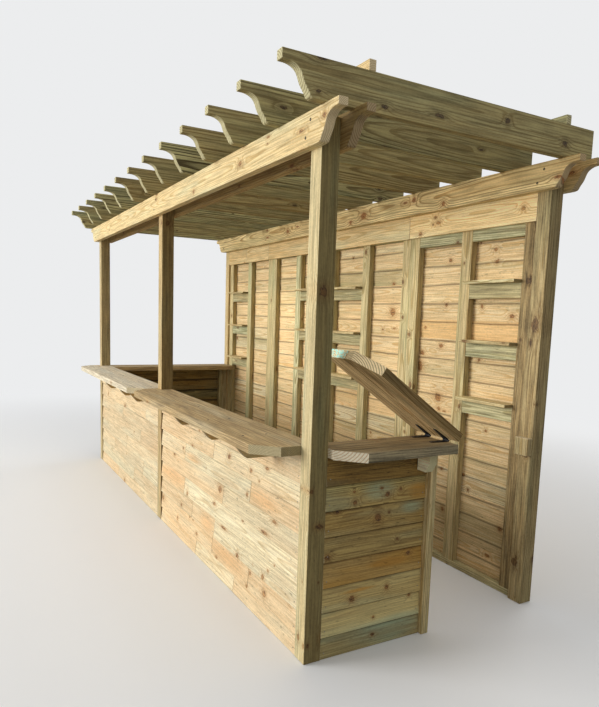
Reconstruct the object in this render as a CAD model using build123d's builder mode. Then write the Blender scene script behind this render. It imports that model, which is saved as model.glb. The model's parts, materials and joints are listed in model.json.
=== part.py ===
from build123d import *
import os

os.makedirs("parts", exist_ok=True)

# Driving dimensions in millimetres
frame_length = 4515.0      # outer face to outer face of the end posts
frame_depth = 1535.0       # front face of front posts to rear face of rear posts
post = 90.0                # square posts
post_top = 2466.0          # posts stop a little below the beam tops
mid_post_left = 2157.0     # left face of the middle post from the left end
beam_thick = 45.0
beam_depth = 145.0
beam_top = 2478.0
beam_overhang = 190.0      # past the outer face of the end posts
rafter_count = 13
rafter_thick = 45.0
rafter_depth = 162.0
rafter_front_overhang = 252.0
rafter_rear_overhang = 74.0
rafter_right_inset = 90.0  # right rafter back from the right beam ends
rafter_left_inset = 44.0   # left rafter back from the left beam ends
rafter_nose = 40.0         # upright part of a shaped rafter end
beam_nose = 33.0           # upright part of a shaped beam end
ogee_run = 166.0           # length of the S-shaped cut along the timber
batten_thick = 35.0
batten_depth = 46.0
front_batten_y = 155.0     # front face of the front batten
rear_batten_y = 1390.0     # front face of the rear batten
worktop_top = 1028.0
worktop_thick = 45.0
front_overhang = 215.0     # front worktops past the post faces
worktop_chamfer = 112.0    # corner cuts of all worktops and of the flap
worktop_joint = 2.0
board_thick = 22.0         # cladding boards
board_recess = 2.0         # cladding set back from the post faces
side_outer = 158.0         # side worktop past the right post face
side_inner = 112.0         # side worktop inside the right post face
side_panel_end = 690.0     # rear end of the right side cladding
trim_width = 45.0
trim_proud = 20.0
trim_overlap = 2.0         # end trim past the rear edge of the side worktop
corbel_thick = 45.0
corbel_height = 55.0
corbel_reach = 190.0       # past the cladding face
corbel_cut_y = 42.0
corbel_cut_z = 48.0
corbel_lip = 8.0           # foot of the slanted nose behind its top edge
left_corbel_insets = [987.0, 457.0, 77.0]    # corbel faces from the middle post
right_corbel_insets = [1265.0, 765.0, 288.0]  # corbel faces from the right post
bracket_front = 621.0      # front face of the side bracket
bracket_reach = 90.0
bracket_height = 105.0
bracket_cut_x = 27.0       # cut lower corner of the bracket
bracket_cut_z = 42.0
flap_angle = 34.5          # raised flap above the worktop plane
flap_length = 697.0
flap_side_inset = 4.0      # flap narrower than the side worktop, each side
axis_gap = 5.0             # hinge axis off the wood edges and faces, also the knuckle radius
flap_inner_extra = 56.0    # flap reaches further in than the side worktop
leaf_length = 100.0        # strap hinge leaf from the axis
leaf_width = 40.0
leaf_tip = 18.0
leaf_thick = 3.0
pin_radius = 2.2
pin_clearance = 0.3
knuckle_gap = 0.3
hinge_outer_inset = 94.0   # hinge centre from the outer edge of the side worktop
hinge_inner_inset = 43.0   # hinge centre from the inner edge
rest_block_thick = 38.0
rest_block_height = 104.0
rest_gap = 5.0             # closed flap above the rest block
left_counter_width = 262.0
leg_thick = 45.0
leg_width = 90.0
leg_cut = 30.0
frieze_thick = 22.0
frieze_height = 150.0
stud_width = 90.0
stud_depth = 45.0
panel_count = 4
panel_lap = 45.0           # wall frames and boards up behind the frieze
base_plate_height = 38.0
top_plates = [45.0, 45.0, 45.0, 113.0]  # top plate heights of the four wall frames
shelf_tops = [1145.0, 1507.0, 1870.0]
shelf_thick = 18.0
shelf_proud = 67.0         # shelf boards past the studs
noggin_height = 88.0
front_top_rail = 90.0      # top rail of the frames behind the front cladding

# Derived positions, left front post corner first, then shifted to the footprint centre
post_inner_rear = frame_depth - post
beam_bottom = beam_top - beam_depth
panel_height = beam_bottom - frieze_height + panel_lap
rafter_top = beam_top + rafter_depth
worktop_bottom = worktop_top - worktop_thick
rafter_rear = frame_depth + rafter_rear_overhang
x_shift = -frame_length / 2
y_shift = -(rafter_rear - rafter_front_overhang) / 2
mid_post_right = mid_post_left + post
right_post_left = frame_length - post
side_right = frame_length + side_outer
side_left = frame_length - side_inner
side_rear = side_panel_end + trim_width - trim_overlap
axis_y = side_rear + axis_gap
axis_z = worktop_top + axis_gap
wall_left = post
wall_right = right_post_left
panel_width = (wall_right - wall_left) / panel_count
frieze_front = post_inner_rear
stud_front = frieze_front + frieze_thick
stud_rear = stud_front + stud_depth
rafter_right_face = frame_length + beam_overhang - rafter_right_inset
rafter_left_face = rafter_left_inset - beam_overhang
rafter_pitch = (rafter_right_face - rafter_thick - rafter_left_face) / (rafter_count - 1)
corbel_faces = [mid_post_left - inset for inset in left_corbel_insets]
corbel_faces += [right_post_left - inset for inset in right_corbel_insets]


def save(piece, name):
    piece.part.label = name
    export_step(piece.part, f"parts/{name}.step")


def block(name, x0, x1, y0, y1, z0, z1):
    """Upright rectangular timber between two corners."""
    with BuildPart() as piece:
        with Locations((x_shift + x0, y_shift + y0, z0)):
            Box(x1 - x0, y1 - y0, z1 - z0, align=(Align.MIN, Align.MIN, Align.MIN))
    save(piece, name)


def framed_panel(name, x0, width, front, height, top_rail, shelf_bay=None):
    """Flat studs at the ends and middle between a base plate and a top rail, with shelves in one bay."""
    left = x_shift + x0
    middle = left + width / 2
    y = y_shift + front
    stud_centres = [left + stud_width / 2, middle, left + width - stud_width / 2]
    bay_width = (width - 3 * stud_width) / 2
    bay_side = -1 if shelf_bay == "left" else 1
    bay_middle = middle + bay_side * (stud_width + bay_width) / 2
    tops = shelf_tops if shelf_bay else []
    with BuildPart() as panel:
        with BuildSketch(Plane.XZ.offset(-y)):
            with Locations(*[(x, height / 2) for x in stud_centres]):
                Rectangle(stud_width, height)
            with Locations((middle, base_plate_height / 2)):
                Rectangle(width, base_plate_height)
            with Locations((middle, height - top_rail / 2)):
                Rectangle(width, top_rail)
            for top in tops:
                with Locations((bay_middle, top - shelf_thick - noggin_height / 2)):
                    Rectangle(bay_width, noggin_height)
        extrude(amount=-stud_depth)
        if tops:
            with BuildSketch(Plane.XZ.offset(shelf_proud - y)):
                with Locations(*[(bay_middle, top - shelf_thick / 2) for top in tops]):
                    Rectangle(bay_width, shelf_thick)
            extrude(amount=-(stud_depth + shelf_proud))
    save(panel, name)


def ogee(drop, run):
    """S-shaped cut from the nose (0, 0) down to (run, -drop)."""
    shape = [(0.0, 0.0), (0.28, -0.03), (0.49, -0.20), (0.61, -0.55), (0.75, -0.83), (1.0, -1.0)]
    return [(run * a, drop * b) for a, b in shape]


# Posts
for name, x in (("left", 0.0), ("middle", mid_post_left), ("right", right_post_left)):
    block(f"front_post_{name}", x, x + post, 0.0, post, 0.0, post_top)
for name, x in (("left", 0.0), ("right", right_post_left)):
    block(f"rear_post_{name}", x, x + post, post_inner_rear, frame_depth, 0.0, post_top)

# Paired beams with shaped ends
beam_drop = beam_depth - beam_nose
beam_curve = ogee(beam_drop, ogee_run)
right_cut = [(frame_length + beam_overhang - a, beam_top - beam_nose + b) for a, b in beam_curve]
left_cut = [(-beam_overhang + a, beam_top - beam_nose + b) for a, b in beam_curve]
for name, y in (
    ("front_beam_outer", -beam_thick),
    ("front_beam_inner", post),
    ("rear_beam_inner", post_inner_rear - beam_thick),
    ("rear_beam_outer", frame_depth),
):
    with BuildPart() as piece:
        with BuildSketch(Plane.XZ.offset(-(y_shift + y))):
            with BuildLine():
                top_right = (x_shift + frame_length + beam_overhang, beam_top)
                top_left = (x_shift - beam_overhang, beam_top)
                right_points = [(x_shift + a, b) for a, b in right_cut]
                left_points = [(x_shift + a, b) for a, b in left_cut]
                Line(top_left, top_right)
                Line(top_right, right_points[0])
                Spline(right_points, tangents=((-1, 0), (-1, 0)))
                Line(right_points[-1], left_points[-1])
                Spline(list(reversed(left_points)), tangents=((-1, 0), (-1, 0)))
                Line(left_points[0], top_left)
            make_face()
        extrude(amount=-beam_thick)
    save(piece, name)

# Rafters with shaped front ends
rafter_drop = rafter_depth - rafter_nose
for index in range(rafter_count):
    x = x_shift + rafter_left_face + index * rafter_pitch
    front = y_shift - rafter_front_overhang
    rear = y_shift + rafter_rear
    cut = [(front + a, rafter_top - rafter_nose + b) for a, b in ogee(rafter_drop, ogee_run)]
    with BuildPart() as piece:
        with BuildSketch(Plane.YZ.offset(x)):
            with BuildLine():
                Line((front, rafter_top), cut[0])
                Spline(cut, tangents=((1, 0), (1, 0)))
                Line(cut[-1], (rear, beam_top))
                Line((rear, beam_top), (rear, rafter_top))
                Line((rear, rafter_top), (front, rafter_top))
            make_face()
        extrude(amount=rafter_thick)
    save(piece, f"rafter_{index + 1:02d}")

# Battens across the rafters
for name, y in (("front", front_batten_y), ("rear", rear_batten_y)):
    block(f"roof_batten_{name}", rafter_left_face, rafter_right_face, y, y + batten_thick,
          rafter_top, rafter_top + batten_depth)

# Rear wall: frieze, framed panels with shelves, boarding behind
block("wall_frieze", wall_left, wall_right, frieze_front, stud_front,
      beam_bottom - frieze_height, beam_bottom)
shelf_bays = ["left", "right", "left", "right"]
for index in range(panel_count):
    left = wall_left + index * panel_width
    framed_panel(f"wall_frame_{index + 1}", left, panel_width, stud_front, panel_height,
                 top_plates[index], shelf_bays[index])
block("wall_boards", wall_left, wall_right, stud_rear, stud_rear + board_thick, 0.0, panel_height)

# Front cladding in two bays, each on a frame of flat studs
for name, x0, x1 in (("left", post, mid_post_left), ("right", mid_post_right, right_post_left)):
    block(f"front_cladding_{name}", x0, x1, board_recess, board_recess + board_thick, 0.0, worktop_bottom)
    framed_panel(f"front_frame_{name}", x0, x1 - x0, board_recess + board_thick, worktop_bottom,
                 front_top_rail)

# Front worktops, each notched round the post at its left end
for name, x0, x1 in (("left", 0.0, mid_post_left), ("right", mid_post_left, right_post_left)):
    a = x_shift + x0
    b = x_shift + x1 - worktop_joint
    front = y_shift - front_overhang
    with BuildPart() as piece:
        with BuildSketch(Plane.XY.offset(worktop_bottom)):
            with BuildLine():
                Polyline(
                    (a, front + worktop_chamfer),
                    (a + worktop_chamfer, front),
                    (b - worktop_chamfer, front),
                    (b, front + worktop_chamfer),
                    (b, y_shift + post),
                    (a + post, y_shift + post),
                    (a + post, y_shift),
                    (a, y_shift),
                    close=True,
                )
            make_face()
        extrude(amount=worktop_thick)
    save(piece, f"front_worktop_{name}")

# Corbels under the front worktops
for index, x in enumerate(corbel_faces):
    face = y_shift + board_recess
    tip = y_shift - corbel_reach
    low = worktop_bottom - corbel_height
    with BuildPart() as piece:
        with BuildSketch(Plane.YZ.offset(x_shift + x - corbel_thick)):
            with BuildLine():
                Polyline(
                    (face, worktop_bottom),
                    (tip, worktop_bottom),
                    (tip + corbel_cut_y, worktop_bottom - corbel_cut_z),
                    (tip + corbel_cut_y + corbel_lip, low),
                    (face, low),
                    close=True,
                )
            make_face()
        extrude(amount=corbel_thick)
    save(piece, f"worktop_corbel_{index + 1}")

# Right end: cladding, end trim, worktop and its bracket
clad_out = frame_length - board_recess
block("side_cladding_right", clad_out - board_thick, clad_out, post, side_panel_end, 0.0, worktop_bottom)
block("side_end_trim", clad_out - board_thick, frame_length + trim_proud, side_panel_end,
      side_panel_end + trim_width, 0.0, worktop_bottom)
with BuildPart() as side_worktop:
    with BuildSketch(Plane.XY.offset(worktop_bottom)):
        with BuildLine():
            Polyline(
                (x_shift + side_left, y_shift + post),
                (x_shift + side_right - worktop_chamfer, y_shift + post),
                (x_shift + side_right, y_shift + post + worktop_chamfer),
                (x_shift + side_right, y_shift + side_rear),
                (x_shift + side_left, y_shift + side_rear),
                close=True,
            )
        make_face()
    extrude(amount=worktop_thick)
save(side_worktop, "side_worktop_right")
with BuildPart() as side_bracket:
    with BuildSketch(Plane.XZ.offset(-(y_shift + bracket_front))):
        with BuildLine():
            Polyline(
                (x_shift + clad_out, worktop_bottom),
                (x_shift + clad_out + bracket_reach, worktop_bottom),
                (x_shift + clad_out + bracket_reach, worktop_bottom - bracket_height + bracket_cut_z),
                (x_shift + clad_out + bracket_reach - bracket_cut_x, worktop_bottom - bracket_height),
                (x_shift + clad_out, worktop_bottom - bracket_height),
                close=True,
            )
        make_face()
    extrude(amount=-corbel_thick)
save(side_bracket, "side_bracket")

# Bar flap, standing open above the side worktop on its hinge axis
flap_near = axis_gap
flap_far = axis_gap + flap_length
outer_x = x_shift + side_right - flap_side_inset
inner_x = x_shift + side_left - flap_inner_extra
with BuildPart() as bar_flap:
    with BuildSketch(Plane.XY.offset(-axis_gap - worktop_thick)):
        with BuildLine():
            Polyline(
                (inner_x, flap_near),
                (outer_x, flap_near),
                (outer_x, flap_far - worktop_chamfer),
                (outer_x - worktop_chamfer, flap_far),
                (inner_x, flap_far),
                close=True,
            )
        make_face()
    extrude(amount=worktop_thick)
flap_pose = Pos(0, y_shift + axis_y, axis_z) * Rot(180.0 - flap_angle, 0, 0)
bar_flap.part = flap_pose * bar_flap.part
save(bar_flap, "bar_flap")

# Strap hinges: the fixed leaf carries the pin, the moving leaf turns on it with the flap
knuckle_side = leaf_width / 4
plate_start = axis_gap + knuckle_gap
for index, x in enumerate((side_right - hinge_outer_inset, side_left + hinge_inner_inset)):
    centre = x_shift + x
    y_axis = y_shift + axis_y
    half = leaf_width / 2
    inner = half - knuckle_side
    with BuildPart() as piece:
        with BuildSketch(Plane.XY.offset(worktop_top)):
            with BuildLine():
                Polyline(
                    (centre - half, y_axis),
                    (centre - half, y_axis - plate_start),
                    (centre - leaf_tip / 2, y_axis - leaf_length),
                    (centre + leaf_tip / 2, y_axis - leaf_length),
                    (centre + half, y_axis - plate_start),
                    (centre + half, y_axis),
                    (centre + inner, y_axis),
                    (centre + inner, y_axis - plate_start),
                    (centre - inner, y_axis - plate_start),
                    (centre - inner, y_axis),
                    close=True,
                )
            make_face()
        extrude(amount=leaf_thick)
        for side in (centre - half, centre + inner):
            with BuildSketch(Plane.YZ.offset(side)):
                with Locations((y_axis, axis_z)):
                    Circle(axis_gap)
            extrude(amount=knuckle_side)
        with BuildSketch(Plane.YZ.offset(centre - half)):
            with Locations((y_axis, axis_z)):
                Circle(pin_radius)
        extrude(amount=leaf_width)
    save(piece, f"hinge_leaf_fixed_{index + 1}")
    inner -= knuckle_gap
    with BuildPart() as piece:
        with BuildSketch(Plane.XY.offset(-axis_gap)):
            with BuildLine():
                Polyline(
                    (centre - inner, 0.0),
                    (centre - inner, plate_start),
                    (centre - half, plate_start),
                    (centre - leaf_tip / 2, leaf_length),
                    (centre + leaf_tip / 2, leaf_length),
                    (centre + half, plate_start),
                    (centre + inner, plate_start),
                    (centre + inner, 0.0),
                    close=True,
                )
            make_face()
        extrude(amount=leaf_thick)
        with BuildSketch(Plane.YZ.offset(centre - inner)):
            Circle(axis_gap)
        extrude(amount=2 * inner)
        with BuildSketch(Plane.YZ.offset(centre - inner)):
            Circle(pin_radius + pin_clearance)
        extrude(amount=2 * inner, mode=Mode.SUBTRACT)
    piece.part = flap_pose * piece.part
    save(piece, f"hinge_leaf_moving_{index + 1}")

block("flap_rest_block", right_post_left, frame_length, post_inner_rear - rest_block_thick, post_inner_rear,
      worktop_bottom - rest_block_height, worktop_bottom - rest_gap)

# Left end: cladding, counter and the leg under its rear end
block("side_cladding_left", board_recess, board_recess + board_thick, post, post_inner_rear,
      0.0, worktop_bottom)
block("side_counter_left", 0.0, left_counter_width, post, post_inner_rear, worktop_bottom, worktop_top)
with BuildPart() as counter_leg:
    with BuildSketch(Plane.YZ.offset(x_shift + board_recess + board_thick)):
        with BuildLine():
            rear = y_shift + post_inner_rear
            Polyline(
                (rear, 0.0),
                (rear, worktop_bottom),
                (rear - leg_width + leg_cut, worktop_bottom),
                (rear - leg_width, worktop_bottom - leg_cut),
                (rear - leg_width, 0.0),
                close=True,
            )
        make_face()
    extrude(amount=leg_thick)
save(counter_leg, "counter_leg_left")
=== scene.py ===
"""Garden bar shelter in treated softwood: the finish of its timbers, lapped boards, worktops and hinges.

Sizes are in metres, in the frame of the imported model: +X along the bar, +Y from its front to the rear wall,
+Z up. In a timber, u runs along its grain, v across it and w through it, with w = u x v.
"""

import json
import math

import bpy
import numpy as np
from mathutils import Matrix, Vector


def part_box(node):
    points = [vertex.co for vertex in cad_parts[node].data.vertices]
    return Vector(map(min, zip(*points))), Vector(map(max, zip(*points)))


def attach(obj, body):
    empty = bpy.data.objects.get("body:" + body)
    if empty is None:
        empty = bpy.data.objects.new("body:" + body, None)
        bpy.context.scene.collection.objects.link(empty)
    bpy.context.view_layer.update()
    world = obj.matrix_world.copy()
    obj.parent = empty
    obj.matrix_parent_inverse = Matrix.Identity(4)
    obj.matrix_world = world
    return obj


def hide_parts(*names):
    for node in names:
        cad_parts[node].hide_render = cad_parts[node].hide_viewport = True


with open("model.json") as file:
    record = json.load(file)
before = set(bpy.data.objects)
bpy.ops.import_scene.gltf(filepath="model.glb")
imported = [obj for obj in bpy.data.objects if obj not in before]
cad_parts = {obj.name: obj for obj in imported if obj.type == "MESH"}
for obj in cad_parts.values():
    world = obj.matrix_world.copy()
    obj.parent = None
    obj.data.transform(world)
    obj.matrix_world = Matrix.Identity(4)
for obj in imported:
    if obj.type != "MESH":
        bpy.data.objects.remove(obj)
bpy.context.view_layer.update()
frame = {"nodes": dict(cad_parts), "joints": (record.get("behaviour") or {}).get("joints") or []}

X, Y, Z = np.eye(3)
ARRIS = 0.0025           # eased corner of a planed timber
WANDER = 0.0005          # how far its faces stray from flat
SHELTER, FLAP_BODY = "shelter", "flap"
chance = np.random.default_rng(41)


def span(node):
    """Lowest and highest corner of a node of the frame, as arrays."""
    low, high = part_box(node)
    return np.array(low), np.array(high)


CORNER = span("front_post_left")[0]      # left front corner of the bar, on the floor


# Meshes worked out on grids

def eased(corners, ease=ARRIS):
    """Closed section from a polygon's corners. Each corner becomes three points: one on each edge at
    distance ease, and one that lies 0.6 of the way from the corner to the middle of those two."""
    corners = np.asarray(corners, float)
    ease = np.broadcast_to(ease, len(corners))[:, None]
    back, ahead = (np.roll(corners, by, axis=0) - corners for by in (1, -1))
    back, ahead = (edge / np.linalg.norm(edge, axis=1)[:, None] * ease for edge in (back, ahead))
    return np.stack([corners + back, corners + (back + ahead) * 0.3, corners + ahead], axis=1).reshape(-1, 2)


def rectangle(v0, v1, w0, w1, ease=ARRIS, kinks=()):
    """Eased rectangle, anticlockwise from (v0, w0), with further points on its long sides at the kinks."""
    ring = eased([(v0, w0), (v1, w0), (v1, w1), (v0, w1)], ease)
    low, high = ([(kink, w) for kink in sorted(kinks)] for w in (w0, w1))
    return np.array([*ring[:3], *low, *ring[3:9], *high[::-1], *ring[9:]])


class Stock:
    """Timbers gathered into one mesh, with where each point lies in its grain and each timber's tone."""

    def __init__(self):
        self.points, self.quads, self.count = [], [], 0
        self.marks = {label: [] for label in ("grain", "axis", "tone", "dark", "seal", "rise")}

    def timber(self, origin, along, across, section, length, tone=(0, 0, 0), dark=(0, 0, 0), sealed=0.0,
               level=0.0, pith=None, step=0.2, bow=WANDER, ends=None, edge=None):
        """Section carried along a straight line. Point (i, j) is origin + u along + v(j) across + w(j) out,
        where u goes from start(v) to end(v), v and w wander by two slow sines of u, v by up to bow, and the
        last 1.5 mm at each end draws in by 1.2 mm. edge(u, w) gives a further change of w. The section's
        point j lies opposite its point n - 1 - j, and the strip between them closes each end. Faces that
        look along dark are darker, sealed is the far end's paint, and rise is v above a level."""
        along, across = np.asarray(along, float), np.asarray(across, float)
        out = np.cross(along, across)
        section = np.asarray(section, float)
        v, w = section[:, 0], section[:, 1]
        tip = 0.0015 / length
        inner = np.linspace(0.0, 1.0, max(2, math.ceil(length / step)) + 1)[1:-1]
        t = np.concatenate([[0.0, tip], inner, [1.0 - tip, 1.0]])[:, None]
        start, end = ends(v) if ends else (0.0 * v, 0.0 * v + length)
        u = start + t * (end - start)
        centre = (section.min(axis=0) + section.max(axis=0)) / 2
        half = np.ptp(section, axis=0) / 2
        draw = np.zeros(len(t))
        draw[[0, -1]] = 0.0012
        phase = chance.uniform(0, 6.28, 4)
        grid_v = v - draw[:, None] * (v - centre[0]) / half[0]
        grid_w = w - draw[:, None] * (w - centre[1]) / half[1]
        grid_v = grid_v + bow * (np.sin(u * 4.1 + phase[0]) + 0.6 * np.sin(u * 9.3 + phase[1])) / 1.6
        grid_w = grid_w + WANDER * (np.sin(u * 3.3 + phase[2]) + 0.6 * np.sin(u * 7.7 + phase[3])) / 1.6
        if edge is not None:
            grid_w = grid_w + edge(u, grid_w)
        place = origin + u[..., None] * along + grid_v[..., None] * across + grid_w[..., None] * out
        if pith is None:
            pith = (chance.uniform(-0.05, 0.05), chance.uniform(0.035, 0.09) * chance.choice([-1, 1]))
        grain = np.stack([u + chance.uniform(0, 60), grid_v - centre[0] - pith[0],
                          grid_w - centre[1] - pith[1]], axis=-1)
        rings, around = u.shape
        index = self.count + np.arange(rings * around).reshape(rings, around)
        ahead = np.roll(index, -1, axis=1)
        self.quads.append(np.stack([index[:-1], ahead[:-1], ahead[1:], index[1:]], axis=-1).reshape(-1, 4))
        near, far = np.arange(around // 2 - 1), around - 1 - np.arange(around // 2 - 1)
        strip = np.stack([near, near + 1, far - 1, far], axis=-1)
        self.quads.append(index[-1][strip])
        self.quads.append(index[0][strip[:, ::-1]])
        seal = np.zeros((rings, around))
        seal[-1] = sealed
        self.points.append(place.reshape(-1, 3))
        self.marks["grain"].append(grain.reshape(-1, 3))
        self.marks["seal"].append(seal.ravel())
        # rise, v above the level of the board above, places the painted shade under its lap
        self.marks["rise"].append((grid_v - level).ravel())
        # faces that look along dark get painted shade
        for label, vector in (("axis", along), ("tone", tone), ("dark", dark)):
            self.marks[label].append(np.broadcast_to(np.asarray(vector, float), (rings * around, 3)))
        self.count += rings * around

    def piece(self, name, body, slot, finish, *nodes):
        """The gathered timbers as one object that rides on a body and stands for nodes of the frame."""
        mesh = grid_mesh(name, np.concatenate(self.points), np.concatenate(self.quads))
        for label, rows in self.marks.items():
            rows = np.concatenate(rows).astype(np.float32)
            kind, key = ("FLOAT", "value") if rows.ndim == 1 else ("FLOAT_VECTOR", "vector")
            mesh.attributes.new(label, kind, "POINT").data.foreach_set(key, rows.ravel())
        place_piece(name, mesh, body, slot, finish, *nodes)


def grid_mesh(name, points, quads):
    """Mesh from arrays of points and of four-sided faces."""
    mesh = bpy.data.meshes.new(name)
    mesh.vertices.add(len(points))
    mesh.vertices.foreach_set("co", points.astype(np.float32).ravel())
    mesh.loops.add(quads.size)
    mesh.loops.foreach_set("vertex_index", quads.astype(np.int32).ravel())
    mesh.polygons.add(len(quads))
    mesh.polygons.foreach_set("loop_start", np.arange(0, quads.size, 4, dtype=np.int32))
    mesh.update(calc_edges=True)
    mesh.shade_flat()
    return mesh


def placed(name, data):
    """A new object of the scene, at the origin."""
    made = bpy.data.objects.new(name, data)
    bpy.context.scene.collection.objects.link(made)
    return made


def place_piece(name, mesh, body, slot, finish, *nodes):
    """A mesh as an object that rides on a body and stands for nodes of the frame."""
    mesh.materials.append(finish)
    piece = placed(name, mesh)
    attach(piece, body)
    if nodes:
        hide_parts(*nodes)
    return piece


# Shader maths

class Value:
    """One output socket; arithmetic on it adds Math nodes to its graph."""

    def __init__(self, graph, socket):
        self.graph, self.socket = graph, socket

    def math(self, operation, *values):
        return self.graph.node("Math", {"operation": operation}, dict(enumerate(values)))

    def of(self, name):
        return Value(self.graph, self.socket.node.outputs[name])

    def split(self):
        parts = self.graph.node("SeparateXYZ", {}, {0: self})
        return parts.of("X"), parts.of("Y"), parts.of("Z")

    def __add__(self, other):
        return self.math("ADD", self, other)

    def __sub__(self, other):
        return self.math("SUBTRACT", self, other)

    def __rsub__(self, other):
        return self.math("SUBTRACT", other, self)

    def __mul__(self, other):
        return self.math("MULTIPLY", self, other)

    def __truediv__(self, other):
        return self.math("DIVIDE", self, other)

    __radd__ = __add__
    __rmul__ = __mul__

    def abs(self):
        return self.math("ABSOLUTE", self)

    def root(self):
        return self.math("SQRT", self)

    def least(self, other):
        return self.math("MINIMUM", self, other)

    def most(self, other):
        return self.math("MAXIMUM", self, other)

    def fraction(self):
        return self.math("FRACT", self)

    def bell(self):
        """exp(-x * x)."""
        return self.math("POWER", math.e, self * self * -1.0)

    def step(self, low, high):
        """Smooth rise from 0 at low to 1 at high, or a fall from 1 where low is above high."""
        ends = {1: low, 2: high, 3: 0.0, 4: 1.0} if low < high else {1: high, 2: low, 3: 1.0, 4: 0.0}
        return self.graph.node("MapRange", {"interpolation_type": "SMOOTHSTEP"}, {0: self, **ends})


class Graph:
    """The node tree of a material or a world."""

    def __init__(self, owner):
        owner.use_nodes = True
        self.tree = owner.node_tree
        self.tree.nodes.clear()

    def node(self, kind, settings, inputs, out=0):
        """A node of that type, with its settings set first and then its inputs set or linked."""
        made = self.tree.nodes.new("ShaderNode" + kind)
        for key, value in settings.items():
            setattr(made, key, value)
        for key, value in inputs.items():
            if isinstance(value, Value):
                self.tree.links.new(value.socket, made.inputs[key])
            else:
                made.inputs[key].default_value = value
        return Value(self, made.outputs[out]) if made.outputs else None

    def vector(self, x, y, z):
        return self.node("CombineXYZ", {}, {0: x, 1: y, 2: z})

    def noise(self, place, detail=2.0):
        """Noise at a place already scaled, centred on 0.5."""
        return self.node("TexNoise", {}, {"Vector": place, "Scale": 1.0, "Detail": detail})

    def mix(self, factor, one, other):
        return self.node("Mix", {"data_type": "RGBA"}, {0: factor, 6: one, 7: other}, 2)

    def vectors(self, operation, *values, out=0, **named):
        """A Vector Math node, with its inputs in their order or by name."""
        return self.node("VectorMath", {"operation": operation}, {**dict(enumerate(values)), **named}, out)

    def mark(self, label, out="Vector"):
        """An attribute of the mesh."""
        return self.node("Attribute", {"attribute_name": label}, {}, out)


def surface(graph, colour, roughness, bump, **constants):
    shader = graph.node("BsdfPrincipled", {}, {"Base Color": colour, "Roughness": roughness, **constants})
    if bump is not None:
        graph.tree.links.new(bump.socket, shader.socket.node.inputs["Normal"])
    graph.node("OutputMaterial", {}, {"Surface": shader})


def paint(red, green, blue):
    """Linear colour with alpha, from a screen colour of 0 to 255."""
    return (*(((c / 255 + 0.055) / 1.055) ** 2.4 for c in (red, green, blue)), 1.0)


# Timber finishes: early and late wood, heart, stain, knots and cut ends, with ring width and strengths

def wood(base, **changes):
    """A look with changes, whose colours are given as screen colours of 0 to 255."""
    colours = {key: paint(*value) for key, value in changes.items() if isinstance(value, tuple)}
    return {**base, **changes, **colours}


PALE = wood({}, early=(236, 222, 176), late=(184, 154, 98), heart=(216, 178, 116), stain=(204, 204, 164),
            halo=(178, 132, 76), knot=(96, 66, 38), cut=(226, 208, 168), cut_late=(168, 138, 98),
            ring=0.0065, contrast=0.95, knots=0.2, lines=0.34, streak=0.24, fibre=0.5, mottle=0.5)
# FRONT, WALL and SIDE below end with the strength and depth of a painted shade under each lap.
FRONT = wood(PALE, early=(237, 222, 183), late=(200, 172, 122), heart=(226, 184, 132),
             stain=(228, 219, 184), halo=(194, 148, 96), knot=(98, 66, 40), knots=0.16, contrast=0.55,
             lines=0.24, streak=0.16, mottle=0.4, specks=0.35, dirt=0.95, reach=0.0078)
WALL = wood(PALE, early=(245, 234, 195), late=(204, 170, 114), heart=(226, 184, 122), stain=(176, 168, 122),
            halo=(178, 128, 72), knot=(100, 64, 36), knots=0.1, contrast=0.8, streak=0.16, mottle=0.35,
            specks=0.3, dirt=0.7, reach=0.0058)
SIDE = wood(PALE, early=(184, 162, 95), late=(113, 89, 38), heart=(160, 119, 54), stain=(150, 160, 128),
            halo=(126, 88, 46), knot=(54, 38, 22), contrast=1.0, knots=0.05, lines=0.36, mottle=0.45,
            specks=0.4, dirt=1.0, reach=0.0110)
RAFTER = wood(PALE, early=(178, 172, 124), late=(66, 56, 32), heart=(146, 124, 76), stain=(130, 138, 104),
              halo=(84, 66, 40), knot=(36, 28, 18), cut=(196, 188, 146), cut_late=(132, 118, 84),
              ring=0.011, contrast=1.25, knots=0.18, lines=0.4, streak=0.34, mottle=0.8)
GREEN = wood(PALE, early=(220, 214, 170), late=(150, 136, 90), heart=(188, 154, 100), stain=(176, 180, 136),
             halo=(140, 106, 64), knot=(80, 58, 36), contrast=1.2, ring=0.008, lines=0.42, streak=0.34,
             mottle=0.8)
BEAM = wood(PALE, early=(228, 206, 150), late=(160, 128, 78), heart=(204, 162, 98), stain=(190, 178, 128),
            halo=(164, 110, 60), knot=(92, 58, 32), cut=(178, 156, 120), cut_late=(126, 104, 76),
            ring=0.009, contrast=1.1)
# CORBEL: dark colours that paint the shade of the worktop above onto the corbels
CORBEL = wood(PALE, early=(150, 130, 88), late=(102, 82, 50), cut=(122, 104, 70), cut_late=(88, 70, 44))
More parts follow.
